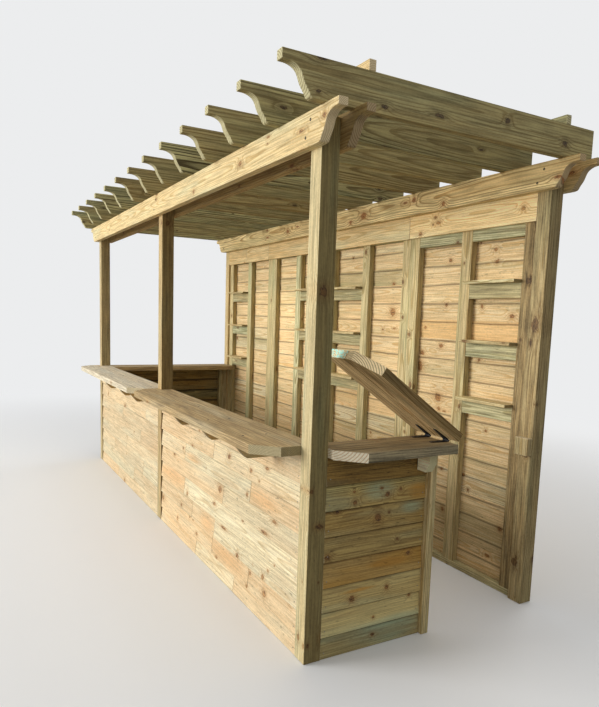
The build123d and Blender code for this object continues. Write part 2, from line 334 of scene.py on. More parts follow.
# BRACKET: pale, low-contrast colours, partly the timber's own and partly painted light falling on the bracket
# under the worktop
BRACKET = wood(PALE, early=(240, 234, 202), late=(206, 190, 146), cut=(214, 208, 168),
               cut_late=(180, 172, 130), contrast=0.5, lines=0.15)
TOP = wood(PALE, early=(192, 174, 132), late=(120, 98, 62), heart=(176, 146, 100), stain=(182, 176, 148),
           cut=(206, 192, 150), cut_late=(140, 120, 80), contrast=0.9, lines=0.5, knots=0.1, streak=0.38,
           mottle=0.8)
GREY_TOP = wood(TOP, early=(226, 211, 181), late=(170, 151, 119), heart=(206, 186, 152),
                stain=(200, 196, 178), cut=(206, 190, 152), contrast=0.6, streak=0.26, mottle=0.5)
SIDE_TOP = wood(TOP, early=(172, 154, 112), late=(98, 80, 50), cut=(248, 238, 208),
                cut_late=(206, 160, 116), ring=0.011)
FLAP = wood(TOP, early=(202, 182, 138), late=(100, 82, 52), heart=(150, 118, 72), stain=(148, 138, 104),
            cut=(216, 196, 154), cut_late=(112, 90, 58), ring=0.009, contrast=1.1, lines=0.6, streak=0.5)
END_SEAL = paint(150, 200, 188)
SIDE_SHADE_TINT = (0.33, 0.31, 0.22)    # painted shade: what the faces of a timber that look along dark keep of each colour
LAP_SHADE_TINT = (0.16, 0.12, 0.07)   # and what the painted shade under a lap leaves of each colour
DEEP = 0.5               # half length of a place through a timber, where its depth does not matter


def along_bar(y, *rows):
    """Places on a face along the bar, from rows (x, z, half length, half height), measured from CORNER."""
    return [((x, y, z), (length, DEEP, height)) for x, z, length, height in rows]


def across_bar(x, *rows):
    """Places on a face across the bar, from rows (y, z, half length, half height)."""
    return [((x, y, z), (DEEP, length, height)) for y, z, length, height in rows]


def nearest(graph, spot, places):
    """Distance to the nearest of some places, in half lengths of that place."""
    shortest = 100.0
    for middle, half in places:
        half = np.array(half)
        offset = graph.vectors("MULTIPLY_ADD", spot, tuple(1 / half), tuple(-(CORNER + middle) / half))
        shortest = graph.vectors("LENGTH", offset, out="Value").least(shortest)
    return shortest


def timber_finish(name, look, node=None, knots=(), stains=(), flames=()):
    """Growth rings round a pith line that wanders, with knots that push the rings aside, a heart tint
    near the pith, patches of stain, fine lines and fibres, drying checks and cut ends that show the rings.
    Knots lie at chance places and at listed ones; stains and flames are listed patches of two more tints.

    Without a node, places come from the mesh's own attributes. With one, they are object coordinates
    turned by node["turn"] and moved by node["shift"], and its axis, tone and dark side are constants."""
    material = bpy.data.materials.new(name)
    graph = Graph(material)
    spot = graph.node("TexCoord", {}, {}, "Object")
    if node is None:
        grain, axis, dark = (graph.mark(label) for label in ("grain", "axis", "dark"))
        light, warm, green = graph.mark("tone").split()
    else:
        grain = graph.node("Mapping", {}, {"Vector": spot, "Rotation": node["turn"],
                                           "Location": node["shift"]})
        axis, dark = node["axis"], node["dark"]
        light, warm, green = node["tone"]
    u, v, w = grain.split()

    drift_v, drift_w, _ = graph.noise(graph.vector(u * 0.8, 3.7, 9.1), 1.0).of("Color").split()
    crook = graph.noise(graph.vector(u * 3.0, v * 16.0, w * 16.0)) - 0.5
    fleck = graph.noise(graph.vector(u * 80.0, v * 110.0, w * 110.0)) - 0.5
    side = v + (drift_v - 0.5) * 0.07
    deep = w + (drift_w - 0.5) * 0.07

    cell_long, cell_wide, knot_size = 0.31, 0.085, 0.015
    flat = graph.vector(u / cell_long, (v + w * 1.7) / cell_wide, 0.0)
    cells = graph.node("TexVoronoi", {"voronoi_dimensions": "2D"}, {"Vector": flat, "Scale": 1.0})
    knot_u, knot_v, _ = cells.of("Position").split()
    flat_u, flat_v, _ = flat.split()
    lot, shape, _ = cells.of("Color").split()
    away_u = (flat_u - knot_u) * cell_long
    away_v = (flat_v - knot_v) * cell_wide
    size = lot.step(1.0 - look["knots"], 1.0) * knot_size
    gone = size.step(0.0045, 0.002)
    away = (away_u * away_u * (shape * 0.6 + 0.25) + away_v * away_v).root()
    push = (away / (size * 2.6 + 0.0005)).bell() * size
    near = away / (size + 0.0002) + gone * 50.0
    if knots:
        listed = nearest(graph, spot, knots)
        push = push.most((listed / 2.4).bell() * 0.014)
        near = near.least(listed)
    near = near + fleck * 1.3
    knot = near.step(1.1, 0.85)
    rim = near.step(0.6, 0.9) * 0.7
    halo = (near / 1.9).bell()

    radius = (side * side + deep * deep).root() - u * 0.004 + crook * 0.006 + push * 1.3
    saw = (radius / look["ring"]).fraction()
    fibre = graph.noise(graph.vector(u * 9.0, v * 420.0, w * 420.0)) - 0.5
    wander = crook * 0.012 + push * 0.6
    streak = graph.noise(graph.vector(u * 3.2, (v + wander) * 130.0, (w + wander) * 130.0), 3.0)
    fine = streak.step(0.38, 0.6)
    late = saw.step(0.5, 0.93) * saw.step(1.0, 0.96)
    broad, blush, dull = graph.noise(graph.vector(u * 1.3, v * 9.0, w * 9.0)).of("Color").split()

    normal = graph.node("TexCoord", {}, {}, "Normal")
    cut = graph.vectors("DOT_PRODUCT", normal, axis, out="Value").abs().step(0.12, 0.4)
    whole = 1.0 - cut
    checks = graph.noise(graph.vector(u * 1.6, v * 34.0, w * 34.0), 1.0)
    check = (checks - 0.5).abs().step(0.006, 0.0) * dull.step(0.56, 0.7) * whole

    colour = graph.mix(late * look["contrast"] * (streak + 0.45) + (1.0 - fine) * look["lines"],
                       look["early"], look["late"])
    colour = graph.mix(radius.step(0.055, 0.02) * 0.5, colour, look["heart"])
    stained = broad.step(0.45, 0.72) * 0.4 + green * 0.6
    warmed = blush.step(0.5, 0.8) * 0.35 + warm * 0.75
    if stains:
        stained = stained + nearest(graph, spot, stains).step(1.4, 0.3) * (fine * 0.3 + 0.4)
    if flames:
        warmed = warmed + nearest(graph, spot, flames).step(1.4, 0.3) * (fine * 0.3 + 0.5)
    colour = graph.mix(stained, colour, look["stain"])
    colour = graph.mix(warmed, colour, look["heart"])
    colour = graph.mix(halo * 0.65, colour, look["halo"])
    colour = graph.mix(cut * 0.85, colour, graph.mix(late * 0.9, look["cut"], look["cut_late"]))
    core = graph.mix(rim.most(fleck.step(-0.02, 0.06)) * 0.9, look["halo"], look["knot"])
    colour = graph.mix(knot * 0.9, colour, core)
    if node is None:
        colour = graph.mix(graph.mark("seal", "Fac") * fleck.step(-0.04, 0.04), colour, END_SEAL)
        # painted shade under each lap: a dark band just below the lower edge of the board above
        if "dirt" in look:
            under = (graph.mark("rise", "Fac") + crook * 0.014) / look["reach"]
            lap_shaded = graph.vectors("MULTIPLY", colour, LAP_SHADE_TINT)
            colour = graph.mix(under.bell() * look["dirt"], colour, lap_shaded)
    # painted shade: faces that look along dark are darkened and browned, the more the longer dark is
    facing = graph.vectors("DOT_PRODUCT", normal, dark, out="Value").most(0.0)
    colour = graph.mix(facing, colour, graph.vectors("MULTIPLY", colour, SIDE_SHADE_TINT))
    mottle = graph.noise(graph.vector(u * 7.0, v * 45.0, w * 45.0)) - 0.5
    lines = (fine - 0.5) * look["streak"] + fibre * look["fibre"] + fleck * 0.4 + mottle * look["mottle"]
    lines = lines * (whole * 0.8 + 0.2)
    if "specks" in look:
        specks = graph.noise(graph.vector(u * 24.0, v * 90.0 + 7.0, w * 90.0), 1.0)
        lines = lines - specks.step(0.66, 0.76) * look["specks"]
    colour = graph.vectors("SCALE", colour,
                           Scale=lines + (dull - 0.5) * 0.2 - check * 0.45 + (1.0 + light * 0.16))

    marks = graph.noise(graph.vector(u * 4.0, v * 300.0, w * 30.0), 1.0)
    height = fibre * 0.7 + fine * 0.5 - check * 1.5 + cut * marks * 0.8
    bump = graph.node("Bump", {}, {"Strength": 0.6, "Distance": 0.0012, "Height": height})
    surface(graph, colour, late * 0.08 + 0.74 - knot * 0.15, bump, **{"Specular IOR Level": 0.3})
    return material


def steel_finish(name, dark, pale, rough):
    """Steel whose colour and roughness go between two values by noise, with small dents."""
    material = bpy.data.materials.new(name)
    graph = Graph(material)
    spot = graph.node("TexCoord", {}, {}, "Object")
    mottle = graph.noise(graph.vectors("SCALE", spot, Scale=160.0), 3.0)
    bump = graph.node("Bump", {}, {"Strength": 0.3, "Distance": 0.0004, "Height": mottle})
    surface(graph, graph.mix(mottle.step(0.3, 0.7), dark, pale), mottle * 0.25 + rough, bump,
            **{"Metallic": 0.6})
    return material


def tone(light=0.0, warm=0.0, green=0.0, spread=0.3):
    """A timber's tone: lightness, warmth and stain, each a little to one side by chance."""
    swing = chance.uniform(-1, 1, 3) * (spread, spread * 0.5, spread * 0.5)
    return (light + swing[0], max(0.0, warm + swing[1]), max(0.0, green + swing[2]))


# Timbers whose shape in the frame is right keep it, and get eased arrises and a finish

TURNS = [(0.0, 0.0, 0.0), (0.0, 0.0, -math.pi / 2), (0.0, math.pi / 2, 0.0)]


def turned(point, axis):
    """A point as u, v, w where the grain runs along an axis: (x, y, z), (y, -x, z) or (z, y, -x)."""
    x, y, z = point
    return np.array([(x, y, z), (y, -x, z), (z, y, -x)][axis])


def dress(name, look, axis, tone, pith=(0.0, 0.0, 0.05), dark=(0.0, 0.0, 0.0), **places):
    """Finish a node of the frame, with its grain along an axis and its pith off its middle by pith. Its
    faces that look along dark are darker, the more so the longer dark is."""
    # dark paints shade on the faces that look along it
    low, high = span(name)
    shift = chance.uniform(0, 60) * X - turned((low + high) / 2 + pith, axis)
    finish = timber_finish(f"{name}_wood", look,
                           {"turn": TURNS[axis], "shift": tuple(shift), "axis": tuple(np.eye(3)[axis]),
                            "tone": tone, "dark": dark}, **places)
    node = frame["nodes"][name]
    node.data.materials.clear()
    node.data.materials.append(finish)
    ease_arrises(node, ARRIS)


def ease_arrises(node, width):
    """Merge the node's loose triangles, join its flat faces and round its corners."""
    node.modifiers.new("weld", "WELD").merge_threshold = 0.0001
    flat = node.modifiers.new("flat", "DECIMATE")
    flat.decimate_type = "DISSOLVE"
    flat.angle_limit = math.radians(1.0)
    bevel = node.modifiers.new("arris", "BEVEL")
    bevel.width = width
    bevel.segments = 2
    bevel.limit_method = "ANGLE"
    bevel.angle_limit = math.radians(50)


def frame_timbers():
    """Posts, beams, rafters, battens and the small timbers."""
    # dark, the sixth argument or named, paints shade on the faces that look along it: the +X sides of the
    # posts, bracket, trim and rest block, and the front and underside of the inner front beam.
    dress("front_post_left", PALE, 2, tone(-2.2, 0.0, 0.3), (0.05, 0.06, 0), (0.5, 0, 0))
    dress("front_post_middle", PALE, 2, tone(-1.9, 0.3, 0.0), (0.05, -0.06, 0), (0.9, 0, 0))
    dress("front_post_right", PALE, 2, (-0.6, 0.0, 0.5), (0.05, 0.03, 0), (1.0, 0, 0),
          knots=across_bar(4.515, (0.057, 0.663, 0.022, 0.012), (0.010, 0.833, 0.009, 0.010),
                           (0.035, 1.730, 0.020, 0.022)))
    dress("rear_post_left", PALE, 2, tone(-0.5), (0.05, 0.03, 0), (0.4, 0, 0))
    dress("rear_post_right", GREEN, 2, (-1.3, 0.3, 0.0), (0.01, -0.05, 0), (0.5, 0, 0),
          knots=along_bar(1.445, (4.470, 1.615, 0.022, 0.040), (4.455, 0.235, 0.018, 0.024),
                          (4.480, 0.870, 0.010, 0.010)))
    dress("front_beam_outer", PALE, 0, (0.0, 0.0, 0.15), (0, 0.04, 0.01),
          knots=along_bar(-0.045, (4.600, 2.430, 0.014, 0.010), (3.760, 2.400, 0.020, 0.012),
                          (3.050, 2.370, 0.015, 0.012)))
    dress("front_beam_inner", BEAM, 0, tone(-0.8), (0, 0.05, 0.03), (0, -0.8, -0.4))
    dress("rear_beam_inner", BEAM, 0, (0.8, 0.0, 0.0), (0, 0.05, 0.02),
          knots=along_bar(1.400, (2.830, 2.402, 0.034, 0.022), (3.422, 2.432, 0.020, 0.016),
                          (3.718, 2.368, 0.016, 0.014), (2.657, 2.372, 0.022, 0.012),
                          (1.600, 2.410, 0.020, 0.016)))
    dress("rear_beam_outer", BEAM, 0, tone(), (0, -0.05, 0.02))
    # painted light: rafters 11, 12 and 13 are made lighter than the others
    lifts = {11: 1.8, 12: 1.2, 13: 1.2}
    knots = {13: across_bar(4.615, (0.970, 2.580, 0.016, 0.012), (1.390, 2.540, 0.018, 0.013)),
             12: across_bar(4.220, (0.320, 2.545, 0.026, 0.018))}
    for index in range(1, 14):
        warm, green = 0.6 if index == 8 else 0.2, 0.35 if index > 11 else 0.1
        dress(f"rafter_{index:02d}", RAFTER, 1, tone(lifts.get(index, 0.4), warm, green, 0.4),
              (chance.uniform(-0.06, -0.03), 0, chance.uniform(-0.03, 0.03)), knots=knots.get(index, ()))
    dress("roof_batten_front", PALE, 0, tone())
    dress("roof_batten_rear", RAFTER, 0, tone(0.4))
    # The bracket's lightness of 1.9 is painted light; dark paints shade on its +X side.
    dress("side_bracket", BRACKET, 0, (1.9, 0.1, 0.0), dark=(0.55, 0, 0))
    dress("side_end_trim", GREEN, 2, tone(0.3), dark=(0.25, 0, 0))
    dress("flap_rest_block", GREEN, 2, (-0.6, 0.2, 0.0), dark=(0.3, 0, 0))
    dress("counter_leg_left", GREEN, 2, tone(-1.5))


# Lapped boards

COVER = 0.1235           # height that each course of the bar shows
FIRST_LINE = 0.108       # lower edge of its second course
WALL_COVER = 0.124
WALL_FIRST_LINE = 0.122
LAP = 0.014
BUTT = 0.0122            # board thickness at its lower edge
TIP = 0.008              # and at its upper edge
JOINT_GAP = 0.0040       # between the ends of two boards
SHORTEST_COURSE = 0.03
BOW = 0.0016             # how far a board's edges stray from straight


def course_lines(first, cover, height):
    """Lower edges of the courses, from the floor up."""
    return [0.0, *np.arange(first, height - SHORTEST_COURSE, cover)]


def lapped(name, node, slot, finish, along, first, cover, joints, tones):
    """Courses of tapered boards in the place of a boarded node, with out = along x up. A board's section is
    a wedge that leans out: from its lower edge to its top, its back goes from BUTT behind its face to 0.
    joints lists where the boards of a course meet, and tones(course, number) gives each board's tone."""
    low, high = span(node)
    out = np.cross(along, Z)
    foot = np.where(along + out > 0, low, high) * (X + Y)
    length, depth = abs((high - low) @ along), abs((high - low) @ out)
    height = high[2]
    lines = course_lines(first, cover, height)
    stock = Stock()
    for course, line in enumerate(lines):
        level = lines[course + 1] if course + 1 < len(lines) else height + LAP
        top = min(level + LAP, height)
        cuts = [0.0, *joints.get(course, []), length]
        for number, (start, end) in enumerate(zip(cuts[:-1], cuts[1:])):
            lower = line - (chance.uniform(0.0, 0.0015) if course else 0.0)
            face = depth - chance.uniform(0.0, 0.0012)
            section = eased([(lower, face - BUTT), (top, 0.0), (top, TIP), (lower, face)], 0.0018)
            stock.timber(foot + (start + JOINT_GAP / 2) * along, along, Z, section,
                         end - start - JOINT_GAP, tones(course, number), level=level,
                         bow=BOW if course else WANDER)
    stock.piece(name, SHELTER, slot, finish, node)


FRONT_FACE = 0.002       # face of the bar front behind that of the posts
FRONT_KNOTS = [(3.567, 0.790, 0.020, 0.015), (3.432, 0.557, 0.030, 0.022), (3.872, 0.780, 0.015, 0.012),
               (3.983, 0.747, 0.008, 0.006), (4.058, 0.833, 0.018, 0.010), (4.157, 0.578, 0.022, 0.010),
               (4.062, 0.492, 0.032, 0.009), (3.770, 0.462, 0.012, 0.006), (3.342, 0.440, 0.020, 0.010),
               (2.852, 0.372, 0.014, 0.016), (3.492, 0.332, 0.040, 0.008), (3.722, 0.242, 0.018, 0.014),
               (4.055, 0.245, 0.015, 0.015), (4.104, 0.300, 0.008, 0.008), (4.187, 0.360, 0.006, 0.006),
               (3.882, 0.200, 0.012, 0.010), (3.860, 0.117, 0.010, 0.008), (4.070, 0.160, 0.022, 0.016),
               (3.407, 0.117, 0.014, 0.010), (3.042, 0.147, 0.016, 0.010), (2.952, 0.215, 0.010, 0.006),
               (2.645, 0.132, 0.012, 0.018), (2.540, 0.587, 0.020, 0.010), (2.747, 0.672, 0.012, 0.009),
               (2.952, 0.732, 0.015, 0.008), (3.080, 0.860, 0.012, 0.010)]
FRONT_FLAMES = [(4.03, 0.655, 0.19, 0.050), (2.52, 0.42, 0.30, 0.060), (3.22, 0.275, 0.12, 0.060),
                (3.57, 0.165, 0.29, 0.050), (2.96, 0.645, 0.17, 0.030)]


def front_boards():
    """Bar front: pale boards of mixed lengths with a few warm ones, and cuts where their ends meet."""
    knots, flames = (along_bar(FRONT_FACE, *rows) for rows in (FRONT_KNOTS, FRONT_FLAMES))
    finish = timber_finish("front_boards_wood", FRONT, knots=knots, flames=flames)
    joints = {"left": [[0.72], [1.31], [0.55, 1.62], [1.05], [1.53], [0.9], [0.4, 1.7], [1.2]],
              "right": [[0.78, 1.42], [1.07, 1.62], [0.7, 1.105], [0.535], [1.24], [0.55, 1.625],
                        [1.08], [0.62, 1.5]]}
    warm = {("left", 4, 1): 0.6, ("left", 0, 0): 0.3, ("right", 0, 1): 0.2}
    for side, cuts in joints.items():
        shade, stain = (-0.8, 0.5) if side == "left" else (-0.3, 0.0)
        lapped(f"front_boards_{side}", f"front_cladding_{side}", "front_boarding", finish, X, FIRST_LINE,
               COVER, dict(enumerate(cuts)),
               lambda course, number: tone(shade, warm.get((side, course, number), 0.0), stain, 0.4))


SIDE_KNOTS = [(0.253, 0.803, 0.008, 0.006), (0.256, 0.752, 0.012, 0.010), (0.450, 0.770, 0.014, 0.012),
              (0.530, 0.787, 0.008, 0.007), (0.163, 0.715, 0.010, 0.008), (0.397, 0.657, 0.016, 0.018),
              (0.465, 0.677, 0.006, 0.006), (0.523, 0.533, 0.007, 0.006), (0.112, 0.505, 0.014, 0.010),
              (0.600, 0.447, 0.012, 0.010), (0.263, 0.270, 0.016, 0.014), (0.473, 0.290, 0.010, 0.012),
              (0.397, 0.148, 0.006, 0.006), (0.623, 0.217, 0.008, 0.008), (0.399, 0.057, 0.012, 0.008)]
SIDE_STAINS = [(0.40, 0.795, 0.10, 0.050), (0.61, 0.690, 0.07, 0.030), (0.50, 0.060, 0.22, 0.050)]
SIDE_FLAMES = [(0.64, 0.765, 0.06, 0.050), (0.48, 0.420, 0.12, 0.022), (0.30, 0.307, 0.10, 0.010)]


def side_boards():
    """Right end panel, eight boards each of its own tone with painted light and shade in it, and the left end
    in painted shade.
    """
    face = span("side_cladding_right")[1][0] - CORNER[0]
    knots, stains, flames = (across_bar(face, *rows) for rows in (SIDE_KNOTS, SIDE_STAINS, SIDE_FLAMES))
    finish = timber_finish("side_boards_wood", SIDE, knots=knots, stains=stains, flames=flames)
    # Each tone is partly the board's own colour and partly painted light: the boards near the bottom are
    # lighter, and the top board is darker, a painted shadow of the side worktop above it.
    tones = [(-0.2, 0.0, 0.6), (4.2, 0.0, 0.6), (2.6, 0.1, 0.5), (0.8, 0.7, 0.0), (-0.3, 0.1, 0.3),
             (-0.5, 0.2, 0.2), (0.4, 0.0, 0.2), (-2.4, 0.4, 0.0)]
    lapped("side_boards_right", "side_cladding_right", "side_boarding", finish, Y, FIRST_LINE, COVER, {},
           lambda course, number: tones[course])
    # The left end's boards are darkened with painted shade.
    lapped("side_boards_left", "side_cladding_left", "side_boarding", finish, -Y, FIRST_LINE, COVER,
           {2: [0.5], 5: [0.9]}, lambda course, number: tone(-2.4, 0.1, 0.1, 0.4))


PANELS = 4
WALL_KNOTS = [(2.548, 2.107, 0.010, 0.009), (3.100, 1.675, 0.030, 0.028), (3.130, 1.552, 0.015, 0.006),
              (2.987, 1.540, 0.009, 0.008), (3.690, 2.020, 0.014, 0.012), (3.680, 1.725, 0.012, 0.012),
              (3.480, 1.570, 0.010, 0.009), (3.650, 1.450, 0.018, 0.014), (3.440, 1.300, 0.030, 0.034),
              (3.650, 1.097, 0.030, 0.025), (3.660, 1.022, 0.015, 0.012), (3.730, 0.617, 0.012, 0.010),
              (3.760, 0.340, 0.012, 0.014), (4.080, 2.060, 0.014, 0.010), (4.100, 1.990, 0.014, 0.012),
              (4.000, 1.717, 0.010, 0.012), (4.240, 1.660, 0.018, 0.012), (4.000, 1.382, 0.010, 0.010),
              (4.100, 0.943, 0.009, 0.008), (3.980, 0.532, 0.010, 0.010), (4.270, 0.362, 0.018, 0.014),
              (4.180, 0.160, 0.020, 0.010)]


def wall_boards():
    """Rear wall: lapped boards whose backs show between the studs, one length to each panel."""
    low, high = span("wall_boards")
    finish = timber_finish("wall_boards_wood", WALL, knots=along_bar(low[1] - CORNER[1], *WALL_KNOTS))
    courses = len(course_lines(WALL_FIRST_LINE, WALL_COVER, high[2]))
    joints = dict.fromkeys(range(courses), [(high[0] - low[0]) / PANELS * k for k in range(1, PANELS)])
    warm = {(12, 0): 0.8, (3, 2): 0.2, (7, 1): 0.3, (5, 3): 0.3, (11, 3): 0.3, (9, 2): 0.3}
    dull = {(15, 1): 0.9, (15, 2): 0.5, (10, 3): 0.4, (2, 0): 0.5}
    lift = (0.0, 0.7, 1.5, 0.4)
    # The seven lowest courses are 0.3 darker: painted shade of the bar front on the lower wall.
    lapped("wall_boards_lapped", "wall_boards", "wall_boarding", finish, -X, WALL_FIRST_LINE, WALL_COVER,
           joints,
           lambda course, number: tone(lift[number] - 0.5 * ((course, number) in dull) - 0.3 * (course < 7),
                                       warm.get((course, number), 0.0), dull.get((course, number), 0.0)))


def frieze():
    """Boards end to end under the rear beams."""
    low, high = span("wall_frieze")
    cuts = [0.0, 0.491, 1.021, 2.14, 3.248, high[0] - low[0]]
    tones = [(0.6, 0.3, 0.0), (0.5, 0.6, 0.0), (0.6, 0.2, 0.0), (1.2, 0.0, 0.0), (2.3, 0.0, 0.0)]
    section = rectangle(0.0, high[2] - low[2], 0.0, high[1] - low[1])
    stock = Stock()
    for start, end, kind in zip(cuts[:-1], cuts[1:], tones):
        stock.timber(np.array([low[0] + start + JOINT_GAP / 2, high[1], low[2]]), X, Z, section,
                     end - start - JOINT_GAP, kind)
    knots = along_bar(low[1] - CORNER[1], (3.60, 2.300, 0.014, 0.010), (3.63, 2.262, 0.020, 0.012),
                      (3.58, 2.255, 0.010, 0.008), (4.33, 2.263, 0.016, 0.012))
    stock.piece("frieze_boards", SHELTER, "pale_timber", timber_finish("frieze_wood", PALE, knots=knots),
                "wall_frieze")


# Frames of flat studs on a base plate, with rails, noggings and shelf boards

STUD = 0.090
DEPTH = 0.045
PLATE = 0.038
LOW_RAIL, HIGH_RAIL, FRONT_RAIL = 0.045, 0.113, 0.090    # heights of the top rails
SHELF = 0.018
SHELF_PROUD = 0.067
NOGGIN = 0.088
LIT_STUD = (1.0, 0.0, 0.25)
DULL_STUD = (0.4, 0.3, 0.0)
BROWN_STUD = (-2.4, 0.7, 0.0)
SHELF_TOPS = [1.145, 1.507, 1.870]
CLOSE = 0.0006           # gap at a stud where a rail or a shelf board meets it


def wane(depth, seed):
    """Change of a board's front edge: between nothing and depth, by three sines of u, where w is high."""
    phase = np.random.default_rng(seed).uniform(0, 6.28, 3)

    def edge(u, w):
        wave = 0.25 * np.sin(u * 17 + phase[0]) + 0.15 * np.sin(u * 43 + phase[1])
        wave = wave + 0.1 * np.sin(u * 97 + phase[2])
        return -depth * (0.5 + wave) * (w > DEPTH / 2)
    return edge


def framed(name, node, finish, outward, rail, shelf_bay=None, studs=(LIT_STUD,) * 3):
    """Three studs on a base plate, rails between their tops, and shelf boards on noggings in one bay, in
    the place of a node. outward is +1 or -1: the side, along Y, that the boards leave open."""
    low, high = span(node)
    stock = Stock()
    along, across = -outward * X, outward * X
    foot = np.array([low[0] if outward < 0 else high[0], high[1] if outward < 0 else low[1], 0.0])
    width, height = high[0] - low[0], high[2]
    bay = width / 2 - 1.5 * STUD - 2 * CLOSE
    # dark of (0.5, 0, 0) on the studs and (1, 0, 0) on the shelf boards paints shade on their +X sides and
    # ends
    for at, kind in zip((STUD / 2, width / 2, width - STUD / 2), studs):
        stock.timber(foot + along * at + Z * PLATE, Z, across, rectangle(-STUD / 2, STUD / 2, 0.0, DEPTH),
                     height - PLATE, tone(*kind), (0.5, 0.0, 0.0))
    stock.timber(foot, along, Z, rectangle(0.0, PLATE, 0.0, DEPTH), width, tone(-0.2, 0.0, 0.5))
    for first in (STUD, width / 2 + STUD / 2):
        stock.timber(foot + along * (first + CLOSE) + Z * (height - rail), along, Z,
                     rectangle(0.0, rail, 0.0, DEPTH - 0.001), bay, tone(-0.8, 0.0, 0.6))
    first = STUD if shelf_bay == "left" else width / 2 + STUD / 2
    noggin = rectangle(0.0, NOGGIN, 0.0, DEPTH - 0.0015)
    shelf = rectangle(0.0, SHELF, 0.0, DEPTH + SHELF_PROUD, 0.0015)
    for number, top in enumerate(SHELF_TOPS if shelf_bay else ()):
        place = foot + along * (first + CLOSE) + Z * (top - SHELF)
        stock.timber(place - Z * NOGGIN, along, Z, noggin, bay, tone(-0.5, 0.0, 0.5))
        stock.timber(place, along, Z, shelf, bay, tone(0.6, 0.1, 0.0), (1.0, 0.0, 0.0), step=0.02,
                     edge=wane(0.006, 10 * number + len(node)))
    stock.piece(name, SHELTER, "green_timber", finish, node)


def frames():
    """Wall frames behind the bar, and the frames behind the bar front."""
    finish = timber_finish("framing_wood", GREEN, knots=along_bar(
        1.467, (3.266, 1.889, 0.012, 0.014), (3.283, 1.637, 0.010, 0.012), (3.365, 1.518, 0.014, 0.012),
        (2.790, 2.134, 0.014, 0.018), (4.380, 1.859, 0.014, 0.020)))
    kinds = [(LOW_RAIL, "left"), (LOW_RAIL, "right"), (LOW_RAIL, "left"),
             (HIGH_RAIL, "right", (LIT_STUD, DULL_STUD, BROWN_STUD))]
    for number, kind in enumerate(kinds, 1):
        framed(f"wall_studs_{number}", f"wall_frame_{number}", finish, -1, *kind)
    for side in ("left", "right"):
        framed(f"front_studs_{side}", f"front_frame_{side}", finish, 1, FRONT_RAIL)


# Worktops and flap, each of two planks

CHAMFER = 0.112          # corner cut
SEAM = 0.0006            # between two planks of a worktop
FLAP_SEAM = 0.004        # and of the flap
POST = 0.090
HINGE = np.array(frame["joints"][0]["pos_m"])
FLAP_OPEN = math.radians(34.5)
FLAP_ALONG = math.sin(FLAP_OPEN) * Z - math.cos(FLAP_OPEN) * Y       # from the hinge to the free end
FLAP_THICK = 0.045
FLAP_EDGE = 0.005        # hinge axis off the flap's edge and face
LEAF_THICK = 0.003
KINK_CLEAR = 0.004       # least distance between a kink and a plank's edge


def corner_cut(v, at=0.0):
    """Length lost at a plank's end by a 45 degree corner cut, at distance v from the cut edge."""
    return np.maximum(0.0, CHAMFER - np.abs(v - at))


def planks(name, node, body, finish, origin, along, across, width, thick, length, ends, kinks, kinds,
           seam=SEAM):
    """Two planks side by side in the place of a node, each of its kind: its tone, dark side and paint.
    ends(v) gives where they start and end at distance v across them both."""
    stock = Stock()
    for v0, v1, kind in zip((0.0, width / 2), (width / 2, width), kinds):
        inside = [k for k in kinks if v0 + KINK_CLEAR < k < v1 - KINK_CLEAR]
        first, last = (seam, ARRIS) if v0 else (ARRIS, seam)
        section = rectangle(v0 + (v0 > 0) * seam / 2, v1 - (v0 == 0) * seam / 2, 0.0, thick,
                            (first, last, last, first), inside)
        stock.timber(origin, along, across, section, length, ends=ends, **kind)
    stock.piece(name, body, "worktop_timber", finish, node)


def worktops():
    """Front worktops with two cut corners and a notch for the post, side worktop and left counter."""
    grey = [dict(tone=(0.4, 0.0, 0.4)), dict(tone=(0.2, 0.0, 0.3))]
    # tan planks: dark paints shade on their +X and +Y faces
    tan = [dict(tone=(0.0, 0.2, 0.0), dark=0.7 * (X + Y)), dict(tone=(-0.1, 0.1, 0.1), dark=0.7 * (X + Y))]
    for side, look, kinds in (("left", GREY_TOP, grey), ("right", TOP, tan)):
        low, high = span(f"front_worktop_{side}")
        length, depth, thick = high - low
        notch = depth - POST
        planks(f"worktop_planks_{side}", f"front_worktop_{side}", SHELTER,
               timber_finish(f"worktop_{side}_wood", look), low, X, Y, depth, thick, length,
               lambda v: (np.where(v > notch, POST, corner_cut(v)), length - corner_cut(v)),
               [CHAMFER, notch - 0.0001, notch + 0.0001], kinds)

    # the side worktop's first plank: dark paints shade on its faces towards +Y and +X
    brown = [dict(tone=(-1.4, 0.0, 0.1), dark=(0.2, 0.6, 0.0), pith=(0.08, 0.07)),
             dict(tone=(-1.4, 0.1, 0.0), pith=(-0.05, 0.06))]
    warm = [dict(tone=(-0.6, 0.3, 0.0)), dict(tone=(-0.5, 0.2, 0.0))]
    for name, node, look, cut, kinds in (("side_worktop", "side_worktop_right", SIDE_TOP, 1, brown),
                                         ("side_counter", "side_counter_left", TOP, 0, warm)):
        low, high = span(node)
        depth, length, thick = high - low
        planks(f"{name}_planks", node, SHELTER, timber_finish(f"{name}_wood", look),
               np.array([high[0], low[1], low[2]]), Y, -X, depth, thick, length,
               lambda v: (cut * corner_cut(v), 0.0 * v + length), [CHAMFER] * cut, kinds)


CORBEL_HEIGHT = 0.066
CORBEL_NOSE = np.array([(0.0, 0.052), (0.006, 0.045), (0.058, 0.0), (CORBEL_HEIGHT, 0.0)])


